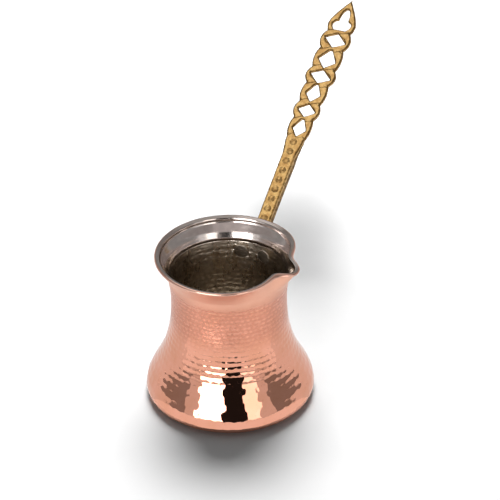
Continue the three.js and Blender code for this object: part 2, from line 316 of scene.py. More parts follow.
def copper_body():
    under = np.linspace(2, BASE_EDGE, 14)[:-1]
    along = np.concatenate([under, np.linspace(BASE_EDGE, LINE_LENGTH, 182)])
    rings = hammer_rings(HAMMER_FIRST, HAMMER_LAST, 5.0, 2.7, seed=11)
    flat_along = np.repeat(along, TURNS)
    flat_turn = np.tile(turns_round(TURNS), len(along))
    marks = hammered(flat_along, flat_turn, rings).reshape(len(along), TURNS) - 1
    depth, fade = (v[:, None] for v in mark_depth(along))
    marks = np.maximum(marks, -1.2) * depth * fade
    outer = wall_rows(along, TURNS, 0, marks)
    inner = wall_rows(np.linspace(LINE_LENGTH, 2, HIDDEN_ROWS), TURNS, COPPER)
    rows = [np.vstack([a, b]) for a, b in zip(outer, inner)]
    piece = skin("copper_wall", *rows)
    ridge = np.concatenate([(marks / np.maximum(depth, 1e-6)).ravel(), np.zeros(HIDDEN_ROWS * TURNS + 2)])
    paint(piece, "ridge", ridge + 1)
    return piece


copper_wall = copper_body()
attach(copper_wall, "root")
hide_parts("copper_body")
print("copper wall:", len(copper_wall.data.polygons), "faces")

# %% [markdown]
# ## The tin lining
# Copper must not touch the coffee, so molten tin is wiped over the inside and over the edge
# of the rim. Inside the neck the copper's hammering shows through it. The flare is smooth,
# with a small shoulder at the crease and a bead rolled along the rim, both of which catch
# bright lines of light. Two numbers are stored with the points: "worn" is where copper shows
# through on the outside of the bead, and the other is painted shade, which darkens the inside
# everywhere but in a band on the far side, towards the handle, left bright as painted light.

# %% Shape the face of the lining
LINING_FACE = COPPER + GAP + TIN
LINING_TURNS, BEAD_ROWS = 400, 18
BEAD_RADIUS = 1.05
MARKS, SHOULDER, ROLL, FLARE_SWEEP = 0.20, 0.30, 0.55, 0.30
# Middle of the band inside that is left bright as painted light; the rest is painted shade.
PAINTED_LIGHT_TURN = math.radians(28)


def rim_bead(steps):
    """Radius and height round the rim's edge, from the outside of the copper to the inside."""
    radius, height, out, up = (float(v[0]) for v in line_at(np.array([LINE_LENGTH])))
    middle = (GAP + TIN - LINING_FACE) / 2
    half = (GAP + TIN + LINING_FACE) / 2
    turn = np.linspace(0, math.pi, steps)
    side, ahead = middle + half * np.cos(turn), BEAD_RADIUS * np.sin(turn)
    return radius + out * side - up * ahead, height + up * side + out * ahead


def lining_relief(along, azimuth):
    """How far the tin's face lies outwards of its plain line at each point."""
    rings = hammer_rings(8.0, CREASE_ALONG - 3, 5.0, 3.4, seed=29)
    marks = hammered(np.repeat(along, LINING_TURNS), np.tile(azimuth, len(along)), rings)
    marks = marks.reshape(len(along), LINING_TURNS)
    fade = 1 - between(along, CREASE_ALONG - 6, CREASE_ALONG - 2)
    relief = MARKS * (np.clip(marks, -0.2, 1.1) - 1) * fade[:, None]
    shoulder = SHOULDER * np.exp(-(((along - CREASE_ALONG) / 0.75) ** 2))
    roll = ROLL * np.exp(-(((along - LINE_LENGTH + 0.9) / 1.3) ** 4))
    rise = np.clip((along - CREASE_ALONG) / (LINE_LENGTH - CREASE_ALONG), 0, 1)
    sweep = FLARE_SWEEP * (np.sin(2 * math.pi * rise) + 0.35 * np.sin(math.pi * rise))
    return -relief - (shoulder + roll + sweep)[:, None]


print("tin lining:", TIN, "mm thick, with a bead of radius", BEAD_RADIUS, "mm")

# %% Wipe the tin lining
def tin_lining():
    azimuth = turns_round(LINING_TURNS)
    hidden = wall_rows(np.linspace(2, LINE_LENGTH, HIDDEN_ROWS), LINING_TURNS, COPPER + GAP)
    bead_radius, bead_height = rim_bead(BEAD_ROWS)
    bead = press_spout(np.tile(bead_radius[:, None], LINING_TURNS),
                       np.tile(bead_height[:, None], LINING_TURNS), azimuth[None, :])
    bead += (np.tile(azimuth, (BEAD_ROWS, 1)),)
    along = np.concatenate([np.linspace(LINE_LENGTH - 0.05, BASE_EDGE, 150),
                            np.linspace(BASE_EDGE, 2, 24)[1:]])
    inside = wall_rows(along, LINING_TURNS, LINING_FACE, lining_relief(along, azimuth))
    rows = [np.vstack([a, b, c]) for a, b, c in zip(hidden, bead, inside)]
    piece = skin("tin_inside", *rows)
    worn_bead = 1 - between(np.linspace(0, 1, BEAD_ROWS), 0.35, 0.85)
    worn = np.concatenate([np.zeros(HIDDEN_ROWS), worn_bead, np.zeros(len(along))])
    paint(piece, "worn", np.append(np.repeat(worn, LINING_TURNS), (0, 0)))
    # Painted shade: the inside is darkened everywhere but in a band round this turn, which stays bright as
    # painted light.
    turn = np.degrees((azimuth - PAINTED_LIGHT_TURN + math.pi) % (2 * math.pi) - math.pi)
    painted_shade_inside = np.outer(np.ones(len(rows[0])), between(np.abs(turn), 24, 62))
    paint(piece, "painted_shade_inside", np.append(painted_shade_inside.ravel(), (1, 1)))
    return piece


tin_inside = tin_lining()
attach(tin_inside, "root")
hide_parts("tin_lining")
print("tin lining:", len(tin_inside.data.polygons), "faces")

# %% [markdown]
# ## The handle's outline
# The handle is sand cast in one piece: a plain bar, then a flat braid with six openings,
# then a pointed tip with a spade-shaped hole to hang the pot by. It is easiest to draw it
# flat, as an outline with holes, and to bend it later.

# %% Draw half of the handle's outline
BAR_END, BRAID_START, HANDLE_LENGTH = 56, 66.6, 160.5
OPENINGS = [  # place, half length, half width, lean, half width of the brass, kite or rhomb
    (73.0, 5.7, 4.3, 0.4, 7.1, True),
    (84.7, 4.2, 5.7, 0.5, 8.2, False),
    (96.4, 5.9, 4.6, 0.4, 8.0, True),
    (107.8, 4.6, 6.9, 1.2, 9.4, False),
    (119.6, 6.2, 5.7, 0.8, 8.7, True),
    (132.7, 4.8, 7.0, 1.3, 9.5, False),
]
WAIST, LOBE_ROUND = 0.8, 0.75
BAR_HALF_WIDTH, BAR_END_HALF_WIDTH = 3.8, 4.15
TIP_EXTRA, FINIAL_TAPER = 1.2, 1.35  # rounding the edges takes the extra length off again
FINIAL_START, FINIAL_SHOULDER, FINIAL_HALF_WIDTH = 138.4, 144.0, 8.6
HANGING_HOLE = [(139.8, 3.6), (141.6, 5.3), (143.8, 5.9), (145.6, 5.0), (146.4, 3.0),
                (150.0, 2.7), (152.6, 2.0), (154.6, 0.7)]


def braid_waists():
    """Where the two strands cross: place along the handle, and half width there."""
    between_openings = [
        ((a[0] + a[1] + b[0] - b[1]) / 2, WAIST * (a[4] + b[4]) / 2)
        for a, b in zip(OPENINGS, OPENINGS[1:])
    ]
    last = (FINIAL_START, WAIST * (OPENINGS[-1][4] + FINIAL_HALF_WIDTH) / 2)
    return [(BRAID_START, WAIST * OPENINGS[0][4])] + between_openings + [last]


def handle_side():
    """(place, half width) pairs from the foot to the tip."""
    waists = braid_waists()
    side = [(-4, BAR_HALF_WIDTH), (BAR_END - 2, BAR_END_HALF_WIDTH)]
    for place in np.arange(BAR_END - 1, BRAID_START - 0.5, 1.0):
        share = float(between(place, BAR_END - 2, BRAID_START))
        side.append((place, BAR_END_HALF_WIDTH + (waists[0][1] - BAR_END_HALF_WIDTH) * share))
    for opening, (start, here), (end, there) in zip(OPENINGS, waists, waists[1:]):
        for share in np.linspace(0, 1, 14, endpoint=False):
            waist = here + (there - here) * share
            swell = math.sin(math.pi * share) ** LOBE_ROUND
            side.append((start + (end - start) * share, waist + (opening[4] - waist) * swell))
    start, waist = waists[-1]
    for share in np.linspace(0, 1, 6, endpoint=False):
        place = start + (FINIAL_SHOULDER - start) * share
        swell = math.sin(math.pi / 2 * share) ** LOBE_ROUND
        side.append((place, waist + (FINIAL_HALF_WIDTH - waist) * swell))
    for share in np.linspace(0, 0.985, 14):
        place = FINIAL_SHOULDER + (HANDLE_LENGTH - FINIAL_SHOULDER) * share
        side.append((place, FINIAL_HALF_WIDTH * (1 - share ** FINIAL_TAPER)))
    return side


def opening_corners(place, length, width, lean, lobe, kite):
    """Four corners of a rhomb, or five of a kite with a blunt end."""
    middle = place - 0.15 * length if kite else place
    end = place + length
    tip = [(end, -0.8), (end, 0.8)] if kite else [(end, 0)]
    return [(place - length, 0), (middle - lean, -width)] + tip + [(middle + lean, width)]


SIDE = handle_side()
outline = SIDE + [(HANDLE_LENGTH + TIP_EXTRA, 0)] + [(x, -y) for x, y in reversed(SIDE)]
holes = [opening_corners(*opening) for opening in OPENINGS]
holes.append(HANGING_HOLE + [(x, -y) for x, y in reversed(HANGING_HOLE)])
print("the handle's outline has", len(outline), "points and", len(holes), "holes")

# %% [markdown]
# ## From an outline to soft cast metal
# A casting has no sharp corners: the sand rounds every edge. A plate cut straight from the
# outline is rebuilt as an even net of small faces with a voxel remesh, and then smoothed a
# little, which rounds all its edges at once, and gives enough points to press relief into.

# %% Cast a plate from an outline with holes
VOXEL = 0.34


def plate_mesh(outline, holes, thickness):
    """A flat plate from its outline, with its face at height 0 and its back below it."""
    loops = [outline] + holes
    triangles = tessellate_polygon([[Vector((x, y, 0)) for x, y in loop] for loop in loops])
    flat = [point for loop in loops for point in loop]
    count = len(flat)
    points = [(x, y, 0) for x, y in flat] + [(x, y, -thickness) for x, y in flat]
    faces = [tuple(t) for t in triangles] + [tuple(i + count for i in reversed(t)) for t in triangles]
    start = 0
    for loop in loops:
        for i in range(len(loop)):
            a, b = start + i, start + (i + 1) % len(loop)
            faces.append((a, b, b + count, a + count))
        start += len(loop)
    mesh = bpy.data.meshes.new("plate")
    mesh.from_pydata(points, [], faces)
    return mesh


def cast(mesh, voxel=VOXEL, smoothing=2):
    """The mesh remade as an even net of small faces with rounded edges."""
    rough = put("rough", mesh)
    remesh = rough.modifiers.new("net", "REMESH")
    remesh.mode, remesh.voxel_size = "VOXEL", voxel
    smooth = rough.modifiers.new("soften", "SMOOTH")
    smooth.factor, smooth.iterations = 0.5, smoothing
    bpy.context.view_layer.update()
    made = bpy.data.meshes.new_from_object(rough.evaluated_get(bpy.context.evaluated_depsgraph_get()))
    bpy.data.objects.remove(rough)
    return made


def points_of(mesh):
    values = np.empty(len(mesh.vertices) * 3, np.float64)
    mesh.vertices.foreach_get("co", values)
    return values.reshape(-1, 3)


PLATE, FACE_ABOVE = 2.2, 1.4
flat_handle = cast(plate_mesh(outline, holes, PLATE))
print("flat casting:", len(flat_handle.vertices), "points")

# %% [markdown]
# ## The relief of the braid
# The braid is two strands twisted round each other. Each strand swings from one side of an
# opening to the other side of the next. The lower one is worked out first and the upper one
# is laid over it. Both are nearly flat on top, as the real ones are after years of rubbing,
# and along the edges of each runs a thin seam that holds dark patina.

# %% Work out the height of the two strands
STRAND_LIFT, STRAND_ROUND, RECESS, SEAM = 0.20, 0.28, 0.38, 0.40


def strand_knots():
    """Middle of each opening and of the finial, with the strands' distance from the centreline."""
    knots = [(BRAID_START - 2.0, 2.4, 1.7)]
    for place, length, width, lean, lobe, kite in OPENINGS:
        knots.append((place, (width + lobe) / 2, (lobe - width) / 2 + 0.35))
    knots.append((FINIAL_SHOULDER + 0.5, 7.0, 1.9))
    return knots


def strand_heights(place, across):
    """Relief below the face, and the thin dark seams along the strands' edges."""
    knots = strand_knots()
    height, dark = np.full_like(place, -RECESS), np.zeros_like(place)
    for (start, near, thick), (end, far, thicker) in zip(knots, knots[1:]):
        share = np.clip((place - start) / (end - start), 0, 1)
        inside = (place >= start - 0.01) & (place <= end + 0.01)
        swing = between(share, 0.10, 0.90)
        bulk = thick + (thicker - thick) * share + 0.75 * np.sin(math.pi * share)
        slope = (near + far) * 6 * share * (1 - share) / (end - start)
        for sign, sunk in ((-1, STRAND_LIFT), (1, 0.0)):
            middle = sign * (near - (near + far) * swing)
            away = np.abs(across - middle) / np.sqrt(1 + slope ** 2)
            ridge = STRAND_ROUND * (np.sqrt(np.clip(1 - (away / bulk) ** 4, 0, 1)) - 1)
            ridge -= sunk * np.sin(math.pi * share) ** 2
            here = inside & (away < bulk)
            seam = np.exp(-(((away - bulk - 0.1) / SEAM) ** 2))
            height = np.where(here, ridge, height)
            dark = np.where(here, 0, dark)
            dark = np.where(inside, np.maximum(dark, seam), dark)
    return height - 0.12 * dark, dark


# %% [markdown]
# ## Dark edges
# Every edge and every opening is drawn with a thin dark line, which is painted shade. The
# line follows from the distance to the nearest outline.

# %% Measure the distance to the nearest edge
def edge_distance(place, across, loops):
    nearest = np.full_like(place, 99.0)
    for loop in loops:
        for (x0, y0), (x1, y1) in zip(loop, loop[1:] + loop[:1]):
            length = max((x1 - x0) ** 2 + (y1 - y0) ** 2, 1e-9)
            share = np.clip(((place - x0) * (x1 - x0) + (across - y0) * (y1 - y0)) / length, 0, 1)
            gap = np.hypot(place - x0 - share * (x1 - x0), across - y0 - share * (y1 - y0))
            nearest = np.minimum(nearest, gap)
    return nearest


# %% [markdown]
# ## Dimples of the bar
# Down the middle of the bar the pattern maker drilled a row of nine shallow round dimples.
# Some still show the prick of the drill. Old polish and soot have darkened the hollows.

# %% Sink the dimples and edge the bar
DIMPLES = [63.4 - 6.1 * i for i in range(9)]
PRICKED = (3, 4, 6)


def bar_heights(place, across):
    depth = np.zeros_like(place)
    dark = np.zeros_like(place)
    for i, middle in enumerate(DIMPLES):
        away = np.hypot(place - middle, across)
        depth -= 0.46 * np.clip(1 - (away / 1.9) ** 2, 0, 1)
        depth += 0.10 * np.exp(-(((away - 1.95) / 0.35) ** 2))
        dark = np.maximum(dark, 0.42 * (1 - between(away, 1.4, 2.1)))
        dark = np.maximum(dark, 0.70 * np.exp(-(((away - 1.85) / 0.34) ** 2)))
        if i in PRICKED:
            depth -= 0.45 * np.exp(-((away / 0.42) ** 2))
            dark = np.maximum(dark, 1.3 * np.exp(-((away / 0.5) ** 2)))
    ridge = np.exp(-(((place - 60.3) / 0.5) ** 2)) * (1 - between(np.abs(across), 2.2, 2.9))
    return depth + 0.15 * ridge, dark


# %% [markdown]
# ## Bending the handle
# The handle leaves the rim at a slope of 39 degrees and flattens very slightly on its way to
# the tip. The face is one smooth sweep and the back carries the change of thickness: six
# millimetres in the bar, a little over two in the braid, and a web down into the foot.

# %% Bend the flat casting onto its line
HANDLE_RISE, HANDLE_BEND = math.radians(39), math.radians(0.0396)
ROOT_RADIUS, ROOT_HEIGHT = 34.4, 79.5
BAR, WEB, WEB_LENGTH = 6.0, 6.5, 15


def on_handle(place, across, above):
    slope = HANDLE_RISE - HANDLE_BEND * place
    out = ROOT_RADIUS + (math.sin(HANDLE_RISE) - np.sin(slope)) / HANDLE_BEND
    up = ROOT_HEIGHT + (np.cos(slope) - math.cos(HANDLE_RISE)) / HANDLE_BEND
    return np.stack([out - above * np.sin(slope), across, up + above * np.cos(slope)], 1)


def bar_thickness(place):
    slim = between(place, BAR_END - 6, BRAID_START + 3)
    web = WEB * np.clip(1 - np.maximum(place, 0) / WEB_LENGTH, 0, 1) ** 2
    return BAR + (PLATE - BAR) * slim + web


def shaped_handle(mesh):
    """Points of the bent handle in millimetres, and how dark each is painted: patina in hollows, painted
    shade on edges and sides.
    """
    place, across, level = points_of(mesh).T
    face = between(level, -0.85, -0.25)
    strands, recess = strand_heights(place, across)
    bar, dimple = bar_heights(place, across)
    on_braid = between(place, BRAID_START - 1.5, BRAID_START + 1.0)
    on_braid = on_braid * (1 - between(place, FINIAL_SHOULDER - 1, FINIAL_SHOULDER + 3))
    relief = strands * on_braid + bar * (1 - on_braid)
    outer_edge = edge_distance(place, across, [outline])
    edge = np.minimum(outer_edge, edge_distance(place, across, holes))
    relief = relief - 0.16 * np.exp(-((edge / 0.5) ** 2)) + 0.09 * np.exp(-(((edge - 1.0) / 0.35) ** 2))
    # Painted shade: a thin dark line along the outline and every opening, wider on the outer edge.
    painted_edge_shade = np.maximum(1 - between(edge, 0.3, 0.9), 1 - between(outer_edge, 0.5, 1.35))
    painted_edge_shade = painted_edge_shade * np.where(place < BAR_END, 0.6, 1)
    dark = np.maximum(np.maximum(recess * on_braid, dimple), painted_edge_shade) * face
    level = level + relief * face
    upper = np.maximum(level, -PLATE / 2)
    lower = np.clip((-level - PLATE / 2) / (PLATE / 2), 0, 1)
    depth = -upper + lower * (bar_thickness(place) - PLATE / 2)
    # Painted shade: the sides and the back of the casting are painted dark.
    painted_side_shade = 0.8 * (1 - between(level, -1.5, -0.5))
    return on_handle(place, across, FACE_ABOVE - depth), np.maximum(dark, painted_side_shade)


bent_points, bent_patina_and_shade = shaped_handle(flat_handle)
flat_handle.vertices.foreach_set("co", bent_points.ravel())
print("the tip of the handle is at", bent_points[bent_points[:, 0].argmax()].round(1), "mm")

# %% [markdown]
# ## The foot plate
# Below the crease the casting spreads into a plate with two round ends that hugs the neck.
# It is cast flat in the same way and wrapped round the wall, then fused with the bar by one
# more remesh, so that the joint gets the soft fillet of a real casting.

# %% Wrap the foot plate round the neck and fuse it
RIVET_HEIGHT, RIVET_TURN = 74.3, math.radians(13.6)
FOOT_HALF_LENGTH, FOOT_HALF_HEIGHT, FOOT = 13.6, 6.4, 2.3


def foot_points(mesh):
    across, up, level = points_of(mesh).T
    height = RIVET_HEIGHT + up
    reach = neck_radius(height) + GAP + FOOT + level
    return np.stack([np.sqrt(reach ** 2 - across ** 2), across, height], 1)


def foot_outline():
    flat = FOOT_HALF_LENGTH - FOOT_HALF_HEIGHT
    turns = np.linspace(-math.pi / 2, math.pi / 2, 24)
    right = [(flat + FOOT_HALF_HEIGHT * math.cos(t), FOOT_HALF_HEIGHT * math.sin(t)) for t in turns]
    return right + [(-x, -y) for x, y in right]


def fuse(one, other):
    """Two overlapping meshes remade as one casting."""
    mesh = bpy.data.meshes.new("fused")
    count = len(one.vertices)
    faces = [tuple(p.vertices) for p in one.polygons]
    faces += [tuple(i + count for i in p.vertices) for p in other.polygons]
    mesh.from_pydata(np.vstack([points_of(one), points_of(other)]).tolist(), [], faces)
    return cast(mesh, voxel=0.30, smoothing=1)


def clear_of_neck(points):
    """Pushes points that would pass into the pot back out to its wall."""
    reach = np.hypot(points[:, 0], points[:, 1])
    wall = neck_radius(points[:, 2]) + GAP
    grow = np.where((points[:, 2] < HEIGHT - 2) & (reach < wall), wall / reach, 1)
    points[:, :2] *= grow[:, None]
    return points


foot = cast(plate_mesh(foot_outline(), [], FOOT), smoothing=5)
foot.vertices.foreach_set("co", foot_points(foot).ravel())
handle_mesh = fuse(flat_handle, foot)
handle_points = clear_of_neck(points_of(handle_mesh))
print("brass handle:", len(handle_mesh.polygons), "faces")

# %% Carry the patina over to the fused handle
def carry_over(points, from_points, values, reach=1.2):
    """Values of the nearest old points, and a middling value where there were none."""
    tree = KDTree(len(from_points))
    for i, point in enumerate(from_points):
        tree.insert(point, i)
    tree.balance()
    found = [tree.find(point) for point in points]
    return np.array([values[i] if away < reach else 0.35 for _, i, away in found])


handle_patina_and_shade = carry_over(handle_points, bent_points, bent_patina_and_shade)
handle_mesh.vertices.foreach_set("co", (handle_points * MM).ravel())
handle_mesh.shade_smooth()
brass_handle = put("brass_handle", handle_mesh)
paint(brass_handle, "patina_and_shade", handle_patina_and_shade)
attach(brass_handle, "root")
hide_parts("handle")
print("mean patina:", handle_patina_and_shade.mean().round(3))

# %% [markdown]
# ## The rivets
# Two rivets hold the foot to the neck. Inside, each has a flat round head that was tinned
# with the lining. Outside, the shank is hammered over into a low dome. Both ends are turned
# as one profile, and then struck: a few flats are pressed into each head.

# %% Turn and strike the rivets
INNER_HEAD, OUTER_HEAD, SHANK = 4.1, 3.2, 1.7
RIVET_TURNS = 72


def rivet_profile():
    """(distance from the pot's axis, radius) along the rivet, from the inside to the outside."""
    inside = neck_radius(RIVET_HEIGHT - INNER_HEAD) - LINING_FACE
    seat = math.sqrt(inside ** 2 - INNER_HEAD ** 2) - GAP
    plate = neck_radius(RIVET_HEIGHT + OUTER_HEAD) + GAP + FOOT + GAP
    profile = [(seat - 0.90, 0.02)]
    profile += [(seat - 0.90 + 0.16 * (r / 3.5) ** 2, r) for r in np.linspace(0.3, 3.5, 12)]
    edge = np.linspace(0, math.pi / 2, 8)
    profile += [(seat - 0.38 - 0.36 * math.cos(t), 3.62 + 0.46 * math.sin(t)) for t in edge]
    profile += [(seat, INNER_HEAD - 0.02), (seat, SHANK), (plate, SHANK), (plate, OUTER_HEAD - 0.15)]
    dome = np.linspace(0.12, math.pi / 2 - 0.01, 14)
    profile += [(plate + 1.6 * math.sin(t), OUTER_HEAD * math.cos(t)) for t in dome]
    return np.array(profile)


def strike(x, y, z, seed):
    """Presses a few flats into the two heads with a hammer."""
    dice = np.random.default_rng(seed)
    middle = x.mean()
    for _ in range(9):
        turn, lean = dice.uniform(0, 2 * math.pi), dice.uniform(0.15, 0.85)
        for end in (-1, 1):
            aim = (end * math.cos(lean), math.sin(lean) * math.cos(turn), math.sin(lean) * math.sin(turn))
            reach = x * aim[0] + y * aim[1] + z * aim[2]
            here = (x - middle) * end > 0
            limit = reach[here].max() - dice.uniform(0.05, 0.16)
            excess = np.where(here, np.maximum(reach - limit, 0), 0)
            x, y, z = (v - 0.9 * excess * d for v, d in zip((x, y, z), aim))
    return x, y, z


def rivet(name, azimuth, seed):
    profile = rivet_profile()
    turns = np.linspace(0, 2 * math.pi, RIVET_TURNS, endpoint=False)
    x = np.tile(profile[:, :1], RIVET_TURNS)
    y, z = profile[:, 1:] * np.cos(turns), profile[:, 1:] * np.sin(turns)
    x, y, z = strike(x, y, z, seed)
    rows = len(profile)
    grid = np.arange(rows * RIVET_TURNS).reshape(rows, RIVET_TURNS)
    beside = np.roll(grid, -1, axis=1)
    faces = np.stack([grid[:-1], grid[1:], beside[1:], beside[:-1]], -1).reshape(-1, 4).tolist()
    faces += [grid[0].tolist(), grid[-1][::-1].tolist()]
    mesh = bpy.data.meshes.new(name)
    mesh.from_pydata(np.stack([x, y, z], -1).reshape(-1, 3).tolist(), [], faces)
    mesh.transform(Matrix.Scale(MM, 4) @ Matrix.Rotation(azimuth, 4, "Z"))
    mesh.transform(Matrix.Translation((0, 0, RIVET_HEIGHT * MM)))
    mesh.shade_smooth()
    return put(name, mesh)


rivets = {"rivet_left": RIVET_TURN, "rivet_right": -RIVET_TURN}
tinned_rivets = []
for seed, (node, azimuth) in enumerate(rivets.items()):
    piece = rivet("struck_" + node, azimuth, seed + 3)
    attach(piece, "root")
    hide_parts(node)
    tinned_rivets.append(piece)
    print(node, "is", len(piece.data.polygons), "faces")

# %% [markdown]
# ## Helpers for metal
# Metals are one shader with its metallic value at full. What tells them apart is colour,
# how blurred the reflection is, and the small unevenness of colour, roughness and height
# that wear and tools leave. Each finish below starts from the same few nodes.

# %% Start a metal
def start_metal(name):
    material = bpy.data.materials.new(name)
    material.use_nodes = True
    tree = material.node_tree
    tree.nodes.clear()
    output = tree.nodes.new("ShaderNodeOutputMaterial")
    shader = tree.nodes.new("ShaderNodeBsdfPrincipled")
    shader.inputs["Metallic"].default_value = 1.0
    tree.links.new(shader.outputs["BSDF"], output.inputs["Surface"])
    return material, tree, shader


def add(tree, kind, **settings):
    """A new node, with its properties and its inputs set by name."""
    node = tree.nodes.new("ShaderNode" + kind)
    for key, value in settings.items():
        if hasattr(node, key):
            setattr(node, key, value)
        else:
            node.inputs[key.replace("_", " ")].default_value = value
    return node


def grain(tree, scale, detail=4.0, roughness=0.5, stretch=(1, 1, 1)):
    """Noise in the object's own millimetres, stretched along one axis if wanted."""
    place = add(tree, "TexCoord")
    mapping = add(tree, "Mapping", Scale=tuple(1000 * s / scale for s in stretch))
    noise = add(tree, "TexNoise", Scale=1.0, Detail=detail, Roughness=roughness)
    tree.links.new(place.outputs["Object"], mapping.inputs["Vector"])
    tree.links.new(mapping.outputs["Vector"], noise.inputs["Vector"])
    return noise.outputs["Fac"]


def remap(tree, source, low, high, to_low, to_high):
    node = add(tree, "MapRange", interpolation_type="SMOOTHSTEP")
    for socket, value in zip(("From Min", "From Max", "To Min", "To Max"), (low, high, to_low, to_high)):
        node.inputs[socket].default_value = value
    tree.links.new(source, node.inputs["Value"])
    return node.outputs["Result"]


def blend_colours(tree, share, one, other):
    node = add(tree, "Mix", data_type="RGBA")
    tree.links.new(share, node.inputs["Factor"])
    colours = [s for s in node.inputs if s.type == "RGBA"]
    for socket, colour in zip(colours, (one, other)):
        if isinstance(colour, tuple):
            socket.default_value = (*colour, 1)
        else:
            tree.links.new(colour, socket)
    return [s for s in node.outputs if s.type == "RGBA"][0]


def combine(tree, operation, one, other):
    node = add(tree, "Math", operation=operation)
    for socket, value in zip(node.inputs, (one, other)):
        if isinstance(value, (int, float)):
            socket.default_value = value
        else:
            tree.links.new(value, socket)
    return node.outputs["Value"]


def bump(tree, shader, height, distance_mm):
    node = add(tree, "Bump", Strength=1.0, Distance=distance_mm * MM)
    tree.links.new(height, node.inputs["Height"])
    tree.links.new(node.outputs["Normal"], shader.inputs["Normal"])


def height_mm(tree):
    place = add(tree, "TexCoord")
    split = add(tree, "SeparateXYZ")
    tree.links.new(place.outputs["Object"], split.inputs["Vector"])
    return combine(tree, "MULTIPLY", split.outputs["Z"], 1000.0)


# %% [markdown]
# ## Copper, polished on the belly and satin on the neck
# The belly was buffed to a mirror, while the neck keeps the satin of the light hammer. So
# roughness rises with height, and most under the rim, where the buff cannot reach. Under the
# rim the copper is also painted paler: painted light, which keeps it bright where it mirrors
# the shadow on the table. Colour drifts a little between pink and orange, the ridges between
# the hammer marks on the neck are painted darker, a painted shade that stands in for how the
# facets catch the light, and fine lines from the lathe run round the pot.

# %% Mix the copper
def copper_finish():
    material, tree, shader = start_metal("hammered_copper")
    height = height_mm(tree)
    hand_worked = remap(tree, height, 44, 58, 0.0, 1.0)
    drift = remap(tree, grain(tree, 14, detail=3), 0.35, 0.65, 0, 1)
    colour = blend_colours(tree, drift, (0.80, 0.375, 0.262), (0.755, 0.345, 0.225))
    ridge = add(tree, "Attribute", attribute_name="ridge").outputs["Fac"]
    # Painted shade: the ridges between the hammer marks are darkened on the neck.
    painted_ridge_shade = combine(tree, "MULTIPLY", remap(tree, ridge, 0.25, 1.0, 0, 0.60), hand_worked)
    colour = blend_colours(tree, painted_ridge_shade, colour, (0.60, 0.235, 0.150))
    weave = remap(tree, grain(tree, 2.0, detail=7, roughness=0.65, stretch=(1, 1, 3)), 0.42, 0.62, 0, 0.72)
    colour = blend_colours(tree, combine(tree, "MULTIPLY", weave, hand_worked), colour, (0.66, 0.27, 0.185))
    spots = remap(tree, grain(tree, 1.6, detail=5), 0.58, 0.76, 0, 0.40)
    colour = blend_colours(tree, spots, colour, (0.62, 0.25, 0.16))
    # Painted light: the copper under the rim is painted paler.
    painted_light_under_rim = remap(tree, height, 72, 82, 0, 0.70)
    colour = blend_colours(tree, painted_light_under_rim, colour, (0.90, 0.52, 0.38))
    tree.links.new(colour, shader.inputs["Base Color"])
    satin = remap(tree, height, 47, 60, 0.04, 0.22)
    rough = combine(tree, "ADD", satin, remap(tree, height, 72, 80, 0.0, 0.13))
    streak = remap(tree, grain(tree, 5, detail=6, stretch=(1, 1, 6)), 0.3, 0.7, 0.85, 1.25)
    tree.links.new(combine(tree, "MULTIPLY", rough, streak), shader.inputs["Roughness"])
    pits = grain(tree, 0.8, detail=4)
    lines = grain(tree, 2.2, detail=4, stretch=(1, 1, 8))
    fine = combine(tree, "ADD", pits, lines)
    strength = remap(tree, height, 44, 58, 0.025, 1.0)
    bump(tree, shader, combine(tree, "MULTIPLY", fine, strength), 0.15)
    return material


copper_wall.data.materials.append(copper_finish())

# %% [markdown]
# ## Tin
# Wiped tin is a soft, slightly warm grey. It is bright on the burnished flare, and duller
# inside, where it keeps the drag marks of the cotton it was wiped with. Inside, painted shade
# turns it brown everywhere but in a band on the far side, where a brighter tin colour is left
# as a painted pool of light. The top of the bead is painted darker, which is painted shade,
# and on its outer edge the copper is worn bare.

# %% Mix the tin
def tin_finish(name, flare, inside, roughness, inside_roughness):
    material, tree, shader = start_metal(name)
    height = height_mm(tree)
    above = remap(tree, height, CREASE_HEIGHT - 1.5, CREASE_HEIGHT - 0.5, 0, 1)
    drift = remap(tree, grain(tree, 3, detail=6, roughness=0.6), 0.35, 0.65, 0, 1)
    inside = blend_colours(tree, drift, inside, tuple(0.84 * c for c in inside))
    flare = blend_colours(tree, drift, flare, tuple(0.92 * c for c in flare))
    # Painted shade: the top of the bead is darkened.
    painted_bead_shade = remap(tree, height, HEIGHT - 1.5, HEIGHT - 0.5, 0, 0.62)
    # Painted shade: the inside turns brown, except in the band left bright as painted light.
    painted_shade_inside = add(tree, "Attribute", attribute_name="painted_shade_inside").outputs["Fac"]
    inside = blend_colours(tree, painted_shade_inside, inside, (0.44, 0.36, 0.27))
    colour = blend_colours(tree, above, inside, flare)
    colour = blend_colours(tree, painted_bead_shade, colour, (0.36, 0.305, 0.27))
    worn = add(tree, "Attribute", attribute_name="worn").outputs["Fac"]
    ragged = remap(tree, grain(tree, 2.5, detail=4), 0.3, 0.7, -0.2, 0.2)
    worn = remap(tree, combine(tree, "ADD", worn, ragged), 0.25, 0.75, 0, 0.85)
    colour = blend_colours(tree, worn, colour, (0.82, 0.46, 0.35))
    tree.links.new(colour, shader.inputs["Base Color"])
    wiped = remap(tree, grain(tree, 7, detail=5, stretch=(1, 1, 0.5)), 0.3, 0.7, 0.8, 1.3)
    level = remap(tree, above, 0, 1, inside_roughness, roughness)
    tree.links.new(combine(tree, "MULTIPLY", level, wiped), shader.inputs["Roughness"])
    dragged = grain(tree, 3.2, detail=5, stretch=(1, 1, 3))
    relief = combine(tree, "MULTIPLY", dragged, remap(tree, above, 0, 1, 1.0, 0.10))
    bump(tree, shader, relief, 0.30)
    return material


# The bright inside colour shows only in the band of painted light; elsewhere the painted shade covers it.
tin_inside.data.materials.append(
    tin_finish("wiped_tin", (0.74, 0.655, 0.615), (0.90, 0.80, 0.67), 0.16, 0.27))
rivet_tin = tin_finish("tinned_rivet", (0.60, 0.54, 0.50), (0.46, 0.40, 0.33), 0.3, 0.36)
for piece in tinned_rivets:
    piece.data.materials.append(rivet_tin)
